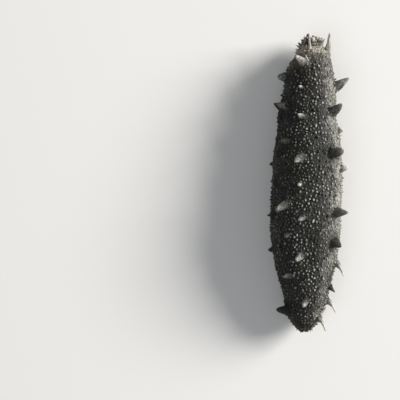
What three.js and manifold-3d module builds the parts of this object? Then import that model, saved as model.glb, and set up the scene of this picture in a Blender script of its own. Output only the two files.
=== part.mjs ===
// Dried sea cucumber (Apostichopus japonicus, whole body, gutted and dried),
// lying on its sole with the back up.
// Millimetres, +Z up. The long axis runs along Y with the oral end at +Y,
// and X runs from the animal's left (seen from above) to its right.
// The origin is under the middle of the model's box, on the plane it rests on.

import * as THREE from 'three';
import { mergeVertices } from 'three/addons/utils/BufferGeometryUtils.js';
import Module from 'manifold-3d';

const wasm = await Module();
wasm.setup();

// ------------------------------------------------------------------
// Driving dimensions
// ------------------------------------------------------------------
const BODY_LENGTH = 78.1;      // oral rim to anal tip, papillae left out
const HEAD_Y = 38.27;          // where the oral rim lies along Y
const SHIFT_X = 0.28;          // centres the box, papillae included, on X = 0

// Body stations: distance from the oral rim, half width, height of the back,
// height of the sole, sideways drift of the centre line.
const STATIONS = [
  [0, 2.6, 9.3, 3.5, 0.95],
  [2.1, 3.22, 10.5, 2.4, 1.08],
  [3.7, 4.18, 11.3, 1.7, 1.3],
  [5.3, 4.95, 11.9, 1.1, 1.25],
  [8, 6.12, 12.6, 0.5, 0.72],
  [10.5, 6.68, 13.2, 0.2, 0.52],
  [13.5, 7.02, 13.8, 0, 0.58],
  [16.6, 7.4, 14.3, -0.2, 0.25],
  [21.2, 7.8, 14.8, -0.3, -0.12],
  [25.5, 8.28, 15.3, -0.3, 0.18],
  [30.5, 8.95, 15.7, -0.3, -0.1],
  [36, 9.25, 16.1, -0.3, -0.15],
  [44, 9.25, 16.4, -0.3, -0.55],
  [51, 9.2, 16.1, -0.3, -0.65],
  [58, 8.45, 15.2, -0.3, -0.68],
  [64, 7.1, 13.8, -0.2, -0.38],
  [68, 6.05, 12.5, 0, -0.3],
  [71.5, 5.05, 11.1, 0.6, -0.66],
];
const WIDEST_AT = 0.46;        // height of the widest line, as a share of the section's height
const BACK_SQUARENESS = 2.1;   // superellipse power of the back
const SOLE_SQUARENESS = 2.7;   // superellipse power of the sole
const SOLE_LEVEL = 0;          // the flat patches of the sole lie on this plane

// The anal end closes with this cap, counted from the last station.
const CAP_START = 71.5;
const CAP_POWER_ALONG = 1.5;
const CAP_POWER_ROUND = 1.65;
const ANUS_SCALE = 0.2;        // the pucker's width, as a share of the cap's section
const ANUS_DEPTH = 0.8;

// The mouth: the profile rolls over the rim into a short cup.
// Each pair is a distance from the rim and a share of the section there.
const MOUTH_PROFILE = [
  [3.2, 0], [3.1, 0.22], [2.2, 0.38], [1.2, 0.48], [0.45, 0.56], [0.08, 0.66], [0.05, 0.78], [0.42, 0.91],
];
const MOUTH_TILT = 16;         // the rim leans back by this angle, in degrees
const MOUTH_TILT_REACH = 6;    // and the lean fades out over this length
const MOUTH_TURN = 0.36;       // and on the left the rim stands back by this much per mm

// Planes that part the body into its lengths, as distances from the oral rim.
const CUTS = [9.1, 26.0, 49.7, 63.6];
const CUT_GAP = 0.3;
const NAMES = ['oral_end', 'fore_trunk', 'mid_trunk', 'hind_trunk', 'anal_end'];

const TRUNK_START = 1.2;       // where the rim's roll has become the trunk
const AROUND = 32;             // facets around the body
const TRUNK_ROWS = 31;         // rows of facets from the mouth to the cap
const CAP_ROWS = 5;
const PAPILLA_TIP = 0.27;      // tip radius, so a tip is about 0.55 thick
const PAPILLA_ROOT = 1.0;      // how deep a papilla's root is sunk in the flesh

// Kinds of papilla: how much of the root's radius the shaft keeps, how fast the
// flare at the foot falls away, how far the shaft stays full, and how blunt its
// end is (small is blunt).
const CONE = [0.8, 2.4, 1.15, 0.9];
const STOUT = [1, 1, 1.35, 0.78];
const THUMB = [1, 1, 2.6, 0.5];
const FINGER = [0.8, 3, 2.1, 0.5];
const HOOK = [0.4, 3.2, 1.9, 0.5];
const NUB = [0.88, 2.5, 1.6, 0.55];
const SPINE = [0.55, 2.5, 1.3, 0.6];
const HOOK_INWARD = 0.3;       // a hook's tip also turns in, by this share of its hook

// Papillae, row by row. Each is: distance from the oral rim, angle around the
// section (0 right, 90 back, 180 left), length, root radius, direction in the
// section (same angles), sweep towards the tail, hook of the tip towards the
// tail as a share of the length, and kind.
const PAPILLA_ROWS = {
  crown: [
    [1.3, 124, 3.8, 0.98, 87, -42, 0, [0.8, 2.4, 1.3, 0.72]],
    [3.9, 12, 6.1, 1.3, 94, -49, 0, [0.28, 3.6, 2.8, 0.45]],
    [7.6, 109, 4, 1.32, 140, -30, 0, [0.74, 2.2, 1.3, 0.65]],
  ],
  left_lateral: [
    [10.6, 168, 2.3, 1.2, 154, -4, 0, [0.95, 2, 2, 0.5]],
    [19, 149, 3.6, 1.8, 149, -15, -0.04, [0.85, 1.8, 1.1, 0.85]],
    [27.7, 134, 2.2, 0.95, 155, 0, 0, NUB],
    [33.2, 196, 1.2, 0.7, 205, 8, 0, NUB],
    [43.5, 124, 4.3, 1.25, 156, 26, 0.03, FINGER],
    [46.6, 164, 1.9, 0.9, 150, 8, 0, CONE],
    [51.7, 123, 1.4, 0.7, 148, 25, 0, NUB],
    [56, 194, 1.3, 0.75, 203, 12, 0, NUB],
    [62.4, 127, 2.4, 0.95, 154, 9, 0, [0.88, 2.5, 1.3, 0.7]],
    [71.9, 168, 3.2, 1.35, 160, -4, 0.03, [0.9, 1.8, 1.4, 0.6]],
  ],
  left_dorsal: [
    [13.9, 110, 1.6, 0.58, 141, -17, 0, NUB],
    [21.5, 103, 2, 1, 137, -18, 0, CONE],
    [31.8, 105, 2.3, 1.35, 153, 36, 0, [0.8, 1.8, 1.1, 0.75]],
    [38.7, 105, 1, 0.58, 130, 28, 0, NUB],
    [47.1, 97, 1.9, 0.88, 153, 32, 0, NUB],
    [57, 101, 2.4, 1.15, 142, 35, 0, [0.8, 2.2, 1.5, 0.6]],
    [69, 96, 2.4, 0.9, 118, 44, 0, [0.8, 2.2, 1.5, 0.6]],
  ],
  right_dorsal: [
    [20.2, 38, 3.7, 1.35, 45, -32, 0, [0.92, 2.2, 1.6, 0.6]],
    [30.9, 50, 3.1, 1.25, 35, -12, 0, [1, 1, 2.6, 0.45]],
    [46.1, 38, 3.7, 1.35, 40, 0, 0, STOUT],
    [53.7, 41, 2.9, 1.35, 48, 23, 0, STOUT],
  ],
  right_lateral: [
    [13.3, 17, 4.4, 1.5, 30, -31, 0, [0.85, 2, 1.3, 0.75]],
    [24.6, 14, 1.7, 0.75, 47, 1, 0, NUB],
    [34.7, 23, 2.2, 1.05, 37, -1, 0, NUB],
    [40.6, -14, 1.2, 0.65, -10, 4, 0, NUB],
    [59.2, 22, 4, 1.1, 42, 21, 0.55, HOOK],
    [65.5, 29, 2, 0.78, 33, 35, 0.15, CONE],
    [69.4, 11, 3.8, 1.05, 42, 19, 0.5, HOOK],
    [73.9, 40, 3.9, 0.98, 51, 12, 0.6, HOOK],
  ],
  spines: [
    [2.5, 107, 4.3, 0.6, 99, -48, 0, SPINE],
    [2, 50, 2.6, 0.76, 60, -34, 0, SPINE],
    [6.7, 105, 1.7, 0.4, 120, -45, 0, SPINE],
    [2.1, 119, 1.2, 0.5, 100, -12, 0, SPINE],
    [11.4, 22, 0.95, 0.45, 52, -15, 0, SPINE],
    [72.7, 25, 2.2, 0.6, 35, -48, 0, SPINE],
  ],
};

// Low fringe on both sides, between the flank and the sole: small papillae
// at an even pitch, which a share of a sine makes uneven.
const FRINGE_FIRST = 11.2;
const FRINGE_LAST = 70.5;
const FRINGE_PITCH = 5.6;
const FRINGE_ANGLE = -43;
const FRINGE_LIFT = -30;
const FRINGE_LENGTH = 1.0;
const FRINGE_ROOT = 0.6;

// Spikelets: one ring of small teeth on the mouth's rim and a tuft of them on
// the left shoulder of the mouth.
const RIM_TEETH = 13;
const RIM_TOOTH_LENGTH = 0.85;
const RIM_TOOTH_ROOT = 0.42;
const TUFT = { rows: 3, perRow: 4, first: 120, step: 16, length: 1.0, root: 0.42 };

// Small papillae around the anus.
const ANAL_RING = { count: 5, at: 77.1, length: 0.7, root: 0.42 };

const SKIN = { color: 0x23231f, roughness: 0.72, metalness: 0.0 };

// ------------------------------------------------------------------
// Shape functions
// ------------------------------------------------------------------
const rad = (deg) => deg * Math.PI / 180;

// Cubic through the stations, with each slope taken from its neighbours.
function station(distance, column) {
  const rows = STATIONS;
  const last = rows.length - 1;
  const x = Math.min(Math.max(distance, rows[0][0]), rows[last][0]);
  let i = 0;
  while (i < last - 1 && x > rows[i + 1][0]) i += 1;
  const slope = (k) => {
    const a = Math.max(k - 1, 0);
    const b = Math.min(k + 1, last);
    return (rows[b][column] - rows[a][column]) / (rows[b][0] - rows[a][0]);
  };
  const h = rows[i + 1][0] - rows[i][0];
  const t = (x - rows[i][0]) / h;
  const h00 = (1 + 2 * t) * (1 - t) * (1 - t);
  const h10 = t * (1 - t) * (1 - t);
  const h01 = t * t * (3 - 2 * t);
  const h11 = t * t * (t - 1);
  return h00 * rows[i][column] + h10 * h * slope(i)
    + h01 * rows[i + 1][column] + h11 * h * slope(i + 1);
}

// A point of the body's surface: distance from the rim, share of the section,
// angle around it.
function surface(distance, share, angle) {
  const half = station(distance, 1);
  const top = station(distance, 2);
  const bottom = station(distance, 3);
  const drift = station(distance, 4);
  const middle = bottom + WIDEST_AT * (top - bottom);
  const c = Math.cos(angle);
  const s = Math.sin(angle);
  const power = 2 / (s >= 0 ? BACK_SQUARENESS : SOLE_SQUARENESS);
  const across = half * Math.sign(c) * Math.pow(Math.abs(c), power);
  const up = (s >= 0 ? top - middle : bottom - middle) * Math.pow(Math.abs(s), power);
  const x = drift + share * across;
  let z = middle + share * up;
  const fade = Math.max(0, 1 - Math.max(distance, 0) / MOUTH_TILT_REACH);
  const leftward = drift - x;
  const turned = MOUTH_TURN * fade * fade * 0.5 * (leftward + Math.sqrt(leftward * leftward + 0.6));
  const lean = Math.tan(rad(MOUTH_TILT)) * fade * fade * (z - middle) + turned;
  z = Math.max(z, SOLE_LEVEL);
  return new THREE.Vector3(x + SHIFT_X, HEAD_Y - distance - lean, z);
}

function capShare(distance) {
  const u = (distance - CAP_START) / (BODY_LENGTH - CAP_START);
  if (u <= 0) return 1;
  return Math.pow(Math.max(0, 1 - Math.pow(u, CAP_POWER_ALONG)), 1 / CAP_POWER_ROUND);
}

// The rows of the body's net, from the bottom of the mouth's cup over the rim,
// along the trunk and round the cap into the anal pucker.
function profile() {
  const rows = MOUTH_PROFILE.map(([d, share]) => [d, share]);
  const start = TRUNK_START;
  for (let i = 0; i <= TRUNK_ROWS; i += 1) {
    rows.push([start + (CAP_START - start) * Math.pow(i / TRUNK_ROWS, 1.12), 1]);
  }
  for (let i = 1; i <= CAP_ROWS; i += 1) {
    const share = 1 - (1 - ANUS_SCALE) * (i / CAP_ROWS);
    // invert the cap: the distance at which its share has this value
    const along = Math.pow(1 - Math.pow(share, CAP_POWER_ROUND), 1 / CAP_POWER_ALONG);
    rows.push([CAP_START + along * (BODY_LENGTH - CAP_START), share]);
  }
  rows.push([BODY_LENGTH - 0.25 * ANUS_DEPTH, 0.55 * ANUS_SCALE]);
  rows.push([BODY_LENGTH - ANUS_DEPTH, 0]);
  return rows;
}

// ------------------------------------------------------------------
// Solids
// ------------------------------------------------------------------
function toSolid(geometry) {
  const bare = geometry.clone();
  bare.deleteAttribute('normal');
  bare.deleteAttribute('uv');
  const merged = mergeVertices(bare, 1e-5);
  return new wasm.Manifold(new wasm.Mesh({
    numProp: 3,
    vertProperties: new Float32Array(merged.attributes.position.array),
    triVerts: new Uint32Array(merged.index.array),
  }));
}

function toGeometry(solid) {
  const mesh = solid.getMesh();
  const geometry = new THREE.BufferGeometry();
  geometry.setAttribute('position', new THREE.BufferAttribute(new Float32Array(mesh.vertProperties), 3));
  geometry.setIndex(new THREE.BufferAttribute(new Uint32Array(mesh.triVerts), 1));
  geometry.computeVertexNormals();
  return geometry;
}

// The body is a sphere's net, whose rows are laid on the profile and whose
// columns are laid around the sections.
function bodySolid() {
  const rows = profile();
  const net = new THREE.SphereGeometry(1, AROUND, rows.length - 1);
  const place = net.attributes.position;
  const columns = AROUND + 1;
  for (let r = 0; r < rows.length; r += 1) {
    for (let k = 0; k < columns; k += 1) {
      const angle = 2 * Math.PI * (AROUND - (k % AROUND) - 0.5) / AROUND;
      const p = surface(rows[r][0], rows[r][1], angle);
      place.setXYZ(r * columns + k, p.x, p.y, p.z);
    }
  }
  return toSolid(net);
}

// A papilla: a short cylinder net, drawn out into a cone with a wide foot and
// bent towards the tail.
const PAPILLA_RINGS = [0, 0.33, 0.72, 1];              // shares of the length above the skin
const FRINGE_RINGS = [0, 0.6, 1];

function papilla([distance, angle, length, root, lift, sweep, hook, kind], sides = 7, rings = PAPILLA_RINGS) {
  const foot = surface(distance, capShare(distance), rad(angle));
  const direction = new THREE.Vector3(
    Math.cos(rad(sweep)) * Math.cos(rad(lift)),
    -Math.sin(rad(sweep)),
    Math.cos(rad(sweep)) * Math.sin(rad(lift)),
  );
  const side = new THREE.Vector3(0, 1, 0).cross(direction).normalize();
  const over = side.clone().cross(direction).normalize();
  const [keep, fall, swell, blunt] = kind;
  const net = new THREE.CylinderGeometry(1, 1, rings.length, sides, rings.length);
  const place = net.attributes.position;
  for (let i = 0; i < place.count; i += 1) {
    const level = Math.round(place.getY(i) + rings.length / 2) - 1;   // -1 at the sunk root
    const free = level < 0 ? 0 : rings[level];
    const along = level < 0 ? -PAPILLA_ROOT : free * length;
    const fullness = (1 - keep) * Math.pow(1 - free, fall) + keep * Math.pow(1 - Math.pow(free, swell), blunt);
    const radius = PAPILLA_TIP + (root - PAPILLA_TIP) * fullness;
    const p = foot.clone()
      .addScaledVector(direction, along)
      .addScaledVector(side, radius * place.getX(i))
      .addScaledVector(over, radius * place.getZ(i));
    const bend = hook * length * free * free;
    p.x -= HOOK_INWARD * Math.sign(direction.x) * bend;
    p.y -= bend;
    place.setXYZ(i, p.x, p.y, p.z);
  }
  return toSolid(net);
}

function spikelet(foot, direction, length, root, sides = 5) {
  const net = new THREE.CylinderGeometry(PAPILLA_TIP, root, length + 0.7, sides, 1);
  net.translate(0, (length + 0.7) / 2 - 0.7, 0);
  net.applyQuaternion(new THREE.Quaternion().setFromUnitVectors(
    new THREE.Vector3(0, 1, 0), direction.clone().normalize()));
  net.translate(foot.x, foot.y, foot.z);
  return toSolid(net);
}

// Which length of the body a distance from the rim falls in.
const lengthOf = (distance) => CUTS.filter((cut) => distance > cut).length;

const growths = NAMES.map(() => []);

for (const row of Object.values(PAPILLA_ROWS)) {
  for (const one of row) growths[lengthOf(one[0])].push(papilla(one, one[3] > 0.8 ? 7 : 6));
}

for (const sideSign of [1, -1]) {
  let number = 0;
  for (let d = FRINGE_FIRST; d <= FRINGE_LAST; d += FRINGE_PITCH) {
    number += 1;
    const uneven = Math.sin(2.4 * number + sideSign);
    const distance = d + 0.9 * uneven;
    const length = FRINGE_LENGTH * (1 + 0.22 * uneven);
    const root = FRINGE_ROOT * (1 + 0.15 * uneven);
    if (CUTS.some((cut) => Math.abs(cut - distance) < root + 0.35)) continue;
    const angle = FRINGE_ANGLE + 4 * uneven;
    const around = sideSign > 0 ? angle : 180 - angle;
    const lift = sideSign > 0 ? FRINGE_LIFT : 180 - FRINGE_LIFT;
    growths[lengthOf(distance)].push(papilla([distance, around, length, root, lift, 8, 0, NUB], 5, FRINGE_RINGS));
  }
}

for (let i = 0; i < RIM_TEETH; i += 1) {
  const angle = 2 * Math.PI * i / RIM_TEETH + 0.2;
  const uneven = 1 + 0.2 * Math.sin(3.1 * i);
  const foot = surface(0.05, 0.84, angle);
  const outward = new THREE.Vector3(0.35 * Math.cos(angle), 1, 0.35 * Math.sin(angle));
  growths[0].push(spikelet(foot, outward, RIM_TOOTH_LENGTH * uneven, RIM_TOOTH_ROOT));
}

for (let r = 0; r < TUFT.rows; r += 1) {
  for (let i = 0; i < TUFT.perRow; i += 1) {
    const angle = rad(TUFT.first + TUFT.step * i + 7 * (r % 2));
    const foot = surface(0.9 + 1.25 * r, 1, angle);
    const outward = new THREE.Vector3(Math.cos(angle), 1.15, Math.sin(angle) + 0.1);
    growths[0].push(spikelet(foot, outward, TUFT.length * (1 - 0.08 * r), TUFT.root));
  }
}

for (let i = 0; i < ANAL_RING.count; i += 1) {
  const angle = 2 * Math.PI * (i + 0.5) / ANAL_RING.count;
  const foot = surface(ANAL_RING.at, capShare(ANAL_RING.at), angle);
  const outward = new THREE.Vector3(0.5 * Math.cos(angle), -1, 0.5 * Math.sin(angle) + 0.1);
  growths[4].push(spikelet(foot, outward, ANAL_RING.length, ANAL_RING.root));
}

// ------------------------------------------------------------------
// The object: one mesh for each length of the body
// ------------------------------------------------------------------
const whole = bodySolid();
const model = new THREE.Group();
model.name = 'dried_sea_cucumber';

NAMES.forEach((name, i) => {
  const from = i === 0 ? -5 : CUTS[i - 1] + CUT_GAP / 2;
  const to = i === NAMES.length - 1 ? BODY_LENGTH + 5 : CUTS[i] - CUT_GAP / 2;
  const slab = new THREE.BoxGeometry(60, to - from, 60);
  slab.translate(0, HEAD_Y - (from + to) / 2, 0);
  // a root sunk in the flesh ends at the cut, too
  let solid = whole;
  for (const growth of growths[i]) solid = solid.add(growth);
  solid = solid.intersect(toSolid(slab));
  const mesh = new THREE.Mesh(toGeometry(solid), new THREE.MeshStandardMaterial({ name: 'skin', ...SKIN }));
  mesh.name = name;
  model.add(mesh);
});

export default model;
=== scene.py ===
import math

import bpy
import numpy as np
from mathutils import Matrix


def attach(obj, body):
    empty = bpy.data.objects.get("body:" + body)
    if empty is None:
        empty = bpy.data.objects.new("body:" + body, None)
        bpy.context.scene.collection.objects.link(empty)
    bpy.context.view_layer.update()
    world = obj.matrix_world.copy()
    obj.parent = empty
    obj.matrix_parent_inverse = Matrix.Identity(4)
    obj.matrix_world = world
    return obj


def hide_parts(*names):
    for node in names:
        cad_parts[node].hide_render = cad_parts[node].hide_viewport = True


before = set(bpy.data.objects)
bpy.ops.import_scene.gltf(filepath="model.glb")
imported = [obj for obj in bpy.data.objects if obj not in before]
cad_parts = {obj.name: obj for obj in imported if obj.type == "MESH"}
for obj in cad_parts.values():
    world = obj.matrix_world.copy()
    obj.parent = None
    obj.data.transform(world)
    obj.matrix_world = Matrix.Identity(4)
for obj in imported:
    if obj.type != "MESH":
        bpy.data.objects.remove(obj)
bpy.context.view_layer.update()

MM = 0.001
rng = np.random.RandomState(29)

# ---------------------------------------------------------------------------
# The body's own shape, in millimetres, as the frame has it
# ---------------------------------------------------------------------------
BODY_LENGTH = 78.1
HEAD_Y = 38.27
SHIFT_X = 0.28
STATIONS = np.array([
    [0.0, 2.60, 9.3, 3.5, 0.95],
    [2.1, 3.22, 10.5, 2.4, 1.08],
    [3.7, 4.18, 11.3, 1.7, 1.30],
    [5.3, 4.95, 11.9, 1.1, 1.25],
    [8.0, 6.12, 12.6, 0.5, 0.72],
    [10.5, 6.68, 13.2, 0.2, 0.52],
    [13.5, 7.02, 13.8, 0.0, 0.58],
    [16.6, 7.40, 14.3, -0.2, 0.25],
    [21.2, 7.80, 14.8, -0.3, -0.12],
    [25.5, 8.28, 15.3, -0.3, 0.18],
    [30.5, 8.95, 15.7, -0.3, -0.10],
    [36.0, 9.25, 16.1, -0.3, -0.15],
    [44.0, 9.25, 16.4, -0.3, -0.55],
    [51.0, 9.20, 16.1, -0.3, -0.65],
    [58.0, 8.45, 15.2, -0.3, -0.68],
    [64.0, 7.10, 13.8, -0.2, -0.38],
    [68.0, 6.05, 12.5, 0.0, -0.30],
    [71.5, 5.05, 11.1, 0.6, -0.66],
])
WIDEST_AT = 0.46
BACK_SQUARENESS = 2.1
SOLE_SQUARENESS = 2.7
CAP_START = 71.5
CAP_POWER_ALONG = 1.5
CAP_POWER_ROUND = 1.65
ANUS_SCALE = 0.2
ANUS_DEPTH = 0.8
MOUTH_PROFILE = [(3.2, 0.0), (3.1, 0.22), (2.2, 0.38), (1.2, 0.48), (0.45, 0.56), (0.08, 0.66), (0.05, 0.78), (0.42, 0.91), (1.2, 1.0)]
MOUTH_TILT = 16
MOUTH_TILT_REACH = 6
MOUTH_TURN = 0.36      # how much further back the rim stands for each mm to the left

COAT_DEPTH = 0.30      # how far the skin lies inside the solids
SOLE_DEPTH = 0.22      # and over the floor, where the tube feet reach down to it
ROWS = 468             # of the skin's net, mouth to anus
COLUMNS = 208          # around it

# Kinds of papilla: how much of the root the shaft keeps, how fast the flare at
# the foot falls away, how far the shaft stays full, and how blunt the end is
# (small is blunt).
CONE = (0.80, 2.4, 1.15, 0.90)
STOUT = (1.00, 1.0, 1.35, 0.78)
THUMB = (1.00, 1.0, 2.60, 0.50)
FINGER = (0.80, 3.0, 2.10, 0.50)
NEEDLE = (0.38, 3.2, 1.50, 0.60)
HOOK = (0.40, 3.2, 1.9, 0.50)
NUB = (0.88, 2.5, 1.60, 0.55)

# distance from the oral rim, angle around, length, root radius, direction in
# the section, sweep towards the tail, hook, tone at the foot and at the tip, kind
SPINE = (0.55, 2.5, 1.3, 0.60)
PAPILLAE = [
    # crown
    (1.3, 124, 3.8, 0.98, 87, -42, 0.0, (0.08, 0.14), (0.80, 2.4, 1.30, 0.72)),
    (3.9, 12, 6.1, 1.30, 94, -49, 0.0, (0.62, 0.76), (0.28, 3.6, 2.8, 0.45)),
    (7.6, 109, 4.0, 1.32, 140, -30, 0.0, (0.36, 0.76), (0.74, 2.2, 1.3, 0.65)),
    # left, low
    (10.6, 168, 2.3, 1.20, 154, -4, 0.0, (0.20, 0.50), (0.95, 2.0, 2.0, 0.50)),
    (19.0, 149, 3.6, 1.80, 149, -15, -0.04, (0.00, 0.03), (0.85, 1.8, 1.1, 0.85)),
    (27.7, 134, 2.2, 0.95, 155, 0, 0.0, (0.05, 0.22), NUB),
    (33.2, 196, 1.2, 0.70, 205, 8, 0.0, (0.10, 0.25), NUB),
    (43.5, 124, 4.3, 1.25, 156, 26, 0.03, (0.10, 0.48), FINGER),
    (46.6, 164, 1.9, 0.90, 150, 8, 0.0, (0.10, 0.25), CONE),
    (51.7, 123, 1.4, 0.70, 148, 25, 0.0, (0.15, 0.45), NUB),
    (56.0, 194, 1.3, 0.75, 203, 12, 0.0, (0.10, 0.25), NUB),
    (62.4, 127, 2.4, 0.95, 154, 9, 0.0, (0.12, 0.36), (0.88, 2.5, 1.3, 0.70)),
    (71.9, 168, 3.2, 1.35, 160, -4, 0.03, (0.03, 0.07), (0.90, 1.8, 1.4, 0.60)),
    # left of the back's middle
    (13.9, 110, 1.6, 0.47, 141, -17, 0.0, (0.08, 1.00), NUB),
    (21.5, 103, 2.0, 1.00, 137, -18, 0.0, (0.28, 0.84), CONE),
    (31.8, 105, 2.3, 1.35, 153, 36, 0.0, (0.28, 0.78), (0.80, 1.8, 1.1, 0.75)),
    (38.7, 105, 1.0, 0.58, 130, 28, 0.0, (0.40, 1.00), NUB),
    (47.1, 97, 1.9, 0.88, 153, 32, 0.0, (0.28, 0.82), NUB),
    (57.0, 101, 2.4, 1.15, 142, 35, 0.0, (0.28, 0.76), (0.80, 2.2, 1.5, 0.60)),
    (69.0, 96, 2.2, 0.98, 118, 40, 0.0, (0.26, 0.74), (0.80, 2.2, 1.5, 0.60)),
    # right of the back's middle
    (20.2, 38, 3.7, 1.35, 45, -32, 0.0, (0.30, 0.36), (0.92, 2.2, 1.6, 0.60)),
    (30.9, 50, 3.1, 1.25, 35, -12, 0.0, (0.26, 0.32), (1.00, 1.0, 2.60, 0.45)),
    (46.1, 38, 3.7, 1.35, 40, 0, 0.0, (0.24, 0.40), STOUT),
    (53.7, 41, 2.9, 1.35, 48, 23, 0.0, (0.10, 0.20), STOUT),
    # right, low
    (13.3, 17, 4.4, 1.50, 30, -31, 0.0, (0.28, 0.58), (0.85, 2.0, 1.3, 0.75)),
    (24.6, 14, 1.7, 0.75, 47, 1, 0.0, (0.40, 1.00), NUB),
    (34.7, 23, 2.2, 1.05, 37, -1, 0.0, (0.35, 0.90), NUB),
    (40.6, -14, 1.2, 0.65, -10, 4, 0.0, (0.15, 0.40), NUB),
    (59.2, 22, 4.0, 1.10, 42, 21, 0.55, (0.38, 0.95), HOOK),
    (65.5, 29, 2.0, 0.78, 33, 35, 0.15, (0.10, 0.25), CONE),
    (69.4, 11, 3.8, 1.05, 42, 19, 0.50, (0.38, 0.95), HOOK),
    (73.9, 40, 3.9, 0.98, 51, 12, 0.60, (0.38, 0.95), HOOK),
]
# the slender ones, which stand on the skin as pieces of their own
SPINES = [
    (2.5, 107, 4.3, 0.54, 99, -48, 0.0, (0.70, 0.95), SPINE),
    (2.0, 48, 2.5, 0.62, 64, -36, 0.0, (1.00, 1.00), SPINE),
    (6.7, 105, 1.7, 0.40, 120, -45, 0.0, (0.70, 0.95), SPINE),
    (11.4, 22, 0.95, 0.45, 52, -15, 0.0, (0.50, 0.95), SPINE),
    (72.7, 25, 2.2, 0.60, 35, -48, 0.0, (0.70, 1.00), SPINE),
]
# the larger of the shrunken feelers on the rim
FEELERS = [
    (0.3, 89, 1.10, 0.66, 90, -50, 0.0, (1.00, 1.00), SPINE),
    (2.6, 122, 1.05, 0.34, 99, -42, 0.0, (1.00, 1.00), SPINE),
    (0.4, 102, 0.90, 0.28, 98, -50, 0.0, (0.55, 0.60), SPINE),
    (0.6, 76, 0.50, 0.30, 75, -40, 0.0, (0.75, 0.80), SPINE),
    (0.1, 66, 1.05, 0.34, 74, -62, 0.0, (0.90, 0.90), SPINE),
    (0.4, 55, 0.60, 0.26, 58, -45, 0.0, (0.65, 0.70), SPINE),
    (0.3, 45, 1.00, 0.38, 66, -50, 0.0, (0.95, 1.00), SPINE),
    (0.8, 36, 0.60, 0.30, 40, -60, 0.0, (0.80, 0.85), SPINE),
    (1.2, 30, 0.85, 0.34, 56, -30, 0.0, (0.90, 0.95), SPINE),
    (1.7, 22, 0.50, 0.24, 30, -50, 0.0, (0.70, 0.75), SPINE),
    (1.6, 84, 0.60, 0.30, 85, -30, 0.0, (0.75, 0.80), SPINE),
    (1.8, 70, 0.60, 0.28, 78, -30, 0.0, (0.75, 0.80), SPINE),
    (0.6, 12, 0.60, 0.30, 20, -50, 0.0, (0.60, 0.70), SPINE),
    (0.6, -8, 0.60, 0.30, -5, -50, 0.0, (0.60, 0.70), SPINE),
]
HOOK_INWARD = 0.3      # a hook's tip also turns in, towards the middle, by this share
FRINGE_FIRST = 11.2
FRINGE_LAST = 70.5
FRINGE_PITCH = 5.6
FRINGE_ANGLE = -43
FRINGE_LIFT = -30
FRINGE_LENGTH = 1.0
FRINGE_ROOT = 0.6
CUTS = (9.1, 26.0, 49.7, 63.6)
for side in (1, -1):
    number = 0
    d = FRINGE_FIRST
    while d <= FRINGE_LAST:
        number += 1
        uneven = math.sin(2.4 * number + side)
        at = d + 0.9 * uneven
        root = FRINGE_ROOT * (1 + 0.15 * uneven)
        d += FRINGE_PITCH
        if any(abs(cut - at) < root + 0.35 for cut in CUTS):
            continue
        angle = FRINGE_ANGLE + 4 * uneven
        PAPILLAE.append((
            at, angle if side > 0 else 180 - angle, FRINGE_LENGTH * (1 + 0.22 * uneven), root,
            FRINGE_LIFT if side > 0 else 180 - FRINGE_LIFT, 8, 0.0, (0.16, 0.35), NUB))


def smooth(low, high, x):
    t = np.clip((x - low) / (high - low), 0, 1)
    return t * t * (3 - 2 * t)


def station(d, column):
    s = STATIONS
    last = len(s) - 1
    x = np.clip(d, s[0, 0], s[last, 0])
    i = np.clip(np.searchsorted(s[:, 0], x, side="right") - 1, 0, last - 1)
    k = np.arange(len(s))
    low, high = np.maximum(k - 1, 0), np.minimum(k + 1, last)
    slope = (s[high, column] - s[low, column]) / (s[high, 0] - s[low, 0])
    h = s[i + 1, 0] - s[i, 0]
    t = (x - s[i, 0]) / h
    return ((1 + 2 * t) * (1 - t) ** 2 * s[i, column] + t * (1 - t) ** 2 * h * slope[i]
            + t * t * (3 - 2 * t) * s[i + 1, column] + t * t * (t - 1) * h * slope[i + 1])


def surface(d, share, angle):
    d, share, angle = np.broadcast_arrays(np.asarray(d, float), share, angle)
    half, top, bottom, drift = (station(d, c) for c in (1, 2, 3, 4))
    middle = bottom + WIDEST_AT * (top - bottom)
    c, s = np.cos(angle), np.sin(angle)
    power = np.where(s >= 0, 2 / BACK_SQUARENESS, 2 / SOLE_SQUARENESS)
    across = half * np.sign(c) * np.abs(c) ** power
    up = np.where(s >= 0, top - middle, bottom - middle) * np.abs(s) ** power
    x = drift + share * across
    z = middle + share * up
    fade = np.clip(1 - np.maximum(d, 0) / MOUTH_TILT_REACH, 0, 1)
    lean = math.tan(math.radians(MOUTH_TILT)) * fade ** 2 * (z - middle)
    leftward = drift - x
    lean = lean + MOUTH_TURN * fade ** 2 * 0.5 * (leftward + np.sqrt(leftward ** 2 + 0.6))
    return np.stack([x + SHIFT_X, HEAD_Y - d - lean, np.maximum(z, 0.0)], -1)


def cap_share(d):
    u = np.clip((np.asarray(d, float) - CAP_START) / (BODY_LENGTH - CAP_START), 0, 1)
    return np.clip(1 - u ** CAP_POWER_ALONG, 0, 1) ** (1 / CAP_POWER_ROUND)


def unit(v):
    return v / np.maximum(np.linalg.norm(v, axis=-1, keepdims=True), 1e-12)


# Gradient noise with its own seeded table, so that each run is the same.
_table = np.random.RandomState(7).permutation(256)
_table = np.concatenate([_table, _table, _table])
_slopes = unit(np.random.RandomState(11).normal(size=(256, 3)))


def noise(p, seed=0):
    p = np.asarray(p, float) + 17.31 * seed
    cell = np.floor(p).astype(int)
    f = p - cell
    w = f * f * f * (f * (f * 6 - 15) + 10)
    total = 0.0
    for corner in range(8):
        o = np.array([corner & 1, corner >> 1 & 1, corner >> 2 & 1])
        c = (cell + o) & 255
        h = _table[_table[_table[c[..., 0]] + c[..., 1]] + c[..., 2]]
        weight = np.prod(np.where(o, w, 1 - w), axis=-1)
        total = total + weight * np.einsum("...i,...i->...", _slopes[h], f - o)
    return total * 1.55


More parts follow.
